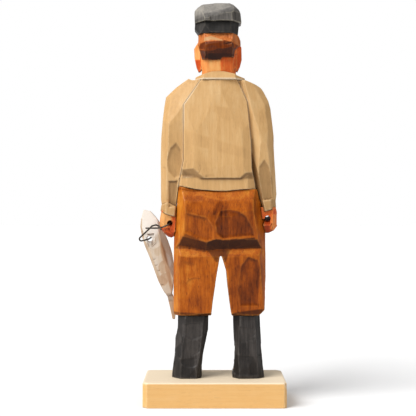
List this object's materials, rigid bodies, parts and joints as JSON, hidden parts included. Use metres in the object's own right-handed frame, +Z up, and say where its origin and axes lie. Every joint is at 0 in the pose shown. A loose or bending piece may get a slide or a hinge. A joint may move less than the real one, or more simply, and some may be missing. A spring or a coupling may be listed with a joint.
{
  "type": "carved wooden figurine",
  "caption": "Flat-plane carved and painted wooden fisherman standing on a plain base board, a flat fish hung from the left fist on a wire loop.",
  "frame": {"origin": "centre of the base board's underside", "axes": "+Z up, the figure faces -Y, its left hand with the fish is on +X"},
  "size_m": [0.0913, 0.05, 0.2486],
  "materials": {
    "base_wood": "bare planed pale softwood",
    "boot_paint": "thin satin charcoal paint on carved wood",
    "trouser_stain": "glossy brown stain on carved wood",
    "sweater_paint": "thin matt sand paint on carved wood",
    "skin_stain": "satin orange flesh stain on carved wood",
    "hair_stain": "glossy dark brown stain on carved wood",
    "cap_paint": "thin satin grey paint on carved wood",
    "band_paint": "satin dark grey paint on carved wood",
    "fish_paint": "thin white paint on carved wood",
    "dowel_wood": "bare turned dowel",
    "iron_wire": "dark annealed iron wire",
    "screw_steel": "zinc plated"
  },
  "bodies": {
    "root": {"base_board": "base_wood", "base_screws": "screw_steel", "cap_band": "band_paint", "cap_crown": "cap_paint", "cap_peak": "band_paint", "collar": "sweater_paint", "hair": "hair_stain", "head": "skin_stain", "left_boot": "boot_paint", "left_hand": "skin_stain", "left_sleeve": "sweater_paint", "left_wrist_dowel": "dowel_wood", "neck_dowel": "dowel_wood", "right_boot": "boot_paint", "right_hand": "skin_stain", "right_sleeve": "sweater_paint", "right_wrist_dowel": "dowel_wood", "sweater": "sweater_paint", "trousers": "trouser_stain"},
    "wire": {"tie_wire": "iron_wire"},
    "fish": {"fish": "fish_paint"}
  },
  "joints": [
    {"name": "wire_swing", "type": "hinge", "parent": "root", "child": "wire", "pos_m": [0.0276, 0.0005, 0.1117], "axis": [0, -0.9903, 0.1392], "range_deg": [0, 12]},
    {"name": "fish_swing", "type": "hinge", "parent": "wire", "child": "fish", "pos_m": [0.0415, -0.0118, 0.1008], "axis": [0, -1, 0], "range_deg": [0, 14]}
  ]
}
